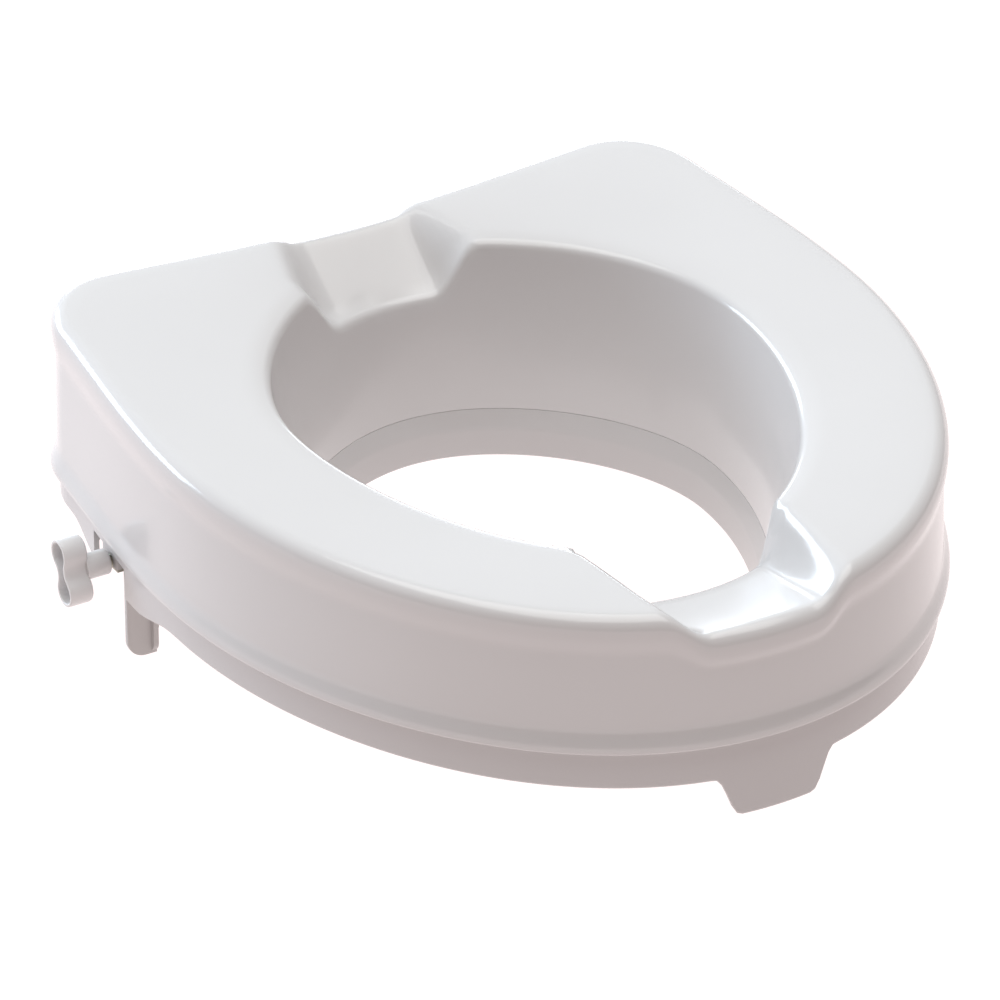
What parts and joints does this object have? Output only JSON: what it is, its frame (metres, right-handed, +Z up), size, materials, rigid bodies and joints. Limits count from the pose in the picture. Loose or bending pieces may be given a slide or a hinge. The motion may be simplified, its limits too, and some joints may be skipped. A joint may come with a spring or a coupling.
{
  "type": "raised toilet seat",
  "caption": "Raised toilet seat with a broad deck, front and rear hygiene recesses, a splash sleeve, a front locating lug and a screw clamp with a sliding leg on each side.",
  "frame": {"origin": "below the middle of the object's box, level with the tips of the clamp legs", "axes": "+Z up, -Y towards the front of the seat, +X across the seat along the clamp screws"},
  "size_m": [0.4078, 0.4086, 0.1459],
  "materials": {
    "shell_plastic": "glossy off-white moulded plastic",
    "base_plastic": "satin off-white moulded plastic",
    "leg_plastic": "satin off-white moulded plastic",
    "knob_plastic": "matte light grey moulded plastic",
    "pad_rubber": "soft grey rubber",
    "zinc_steel": "yellowish zinc-plated steel"
  },
  "bodies": {
    "body": {"seat_shell": "shell_plastic", "base_ring": "base_plastic", "clamp_nut_left": "zinc_steel", "bowl_pad_front_left": "pad_rubber", "bowl_pad_rear_left": "pad_rubber", "base_screw_left_1": "zinc_steel", "base_screw_left_2": "zinc_steel", "base_screw_left_3": "zinc_steel", "base_screw_left_4": "zinc_steel", "base_screw_left_5": "zinc_steel", "clamp_nut_right": "zinc_steel", "bowl_pad_front_right": "pad_rubber", "bowl_pad_rear_right": "pad_rubber", "base_screw_right_1": "zinc_steel", "base_screw_right_2": "zinc_steel", "base_screw_right_3": "zinc_steel", "base_screw_right_4": "zinc_steel", "base_screw_right_5": "zinc_steel"},
    "left_leg": {"clamp_leg_left": "leg_plastic", "leg_pad_left": "pad_rubber"},
    "left_knob": {"knob_left": "knob_plastic", "clamp_screw_left": "zinc_steel", "retaining_clip_left": "zinc_steel"},
    "right_leg": {"clamp_leg_right": "leg_plastic", "leg_pad_right": "pad_rubber"},
    "right_knob": {"knob_right": "knob_plastic", "clamp_screw_right": "zinc_steel", "retaining_clip_right": "zinc_steel"}
  },
  "joints": [
    {"name": "left_leg_slide", "type": "slide", "parent": "body", "child": "left_leg", "axis": [-1, 0, 0], "range_m": [0, 0.01875]},
    {"name": "left_knob_turn", "type": "hinge", "parent": "left_leg", "child": "left_knob", "pos_m": [-0.192, 0.10665, 0.0499], "axis": [-1, 0, 0], "range_deg": [0, 6750]},
    {"name": "right_leg_slide", "type": "slide", "parent": "body", "child": "right_leg", "axis": [1, 0, 0], "range_m": [0, 0.01875]},
    {"name": "right_knob_turn", "type": "hinge", "parent": "right_leg", "child": "right_knob", "pos_m": [0.192, 0.10665, 0.0499], "axis": [1, 0, 0], "range_deg": [0, 6750]}
  ],
  "couplings": [
    {"joint": "left_knob_turn", "follows": "left_leg_slide", "rad_per_m": 6283.2},
    {"joint": "right_knob_turn", "follows": "right_leg_slide", "rad_per_m": 6283.2}
  ]
}
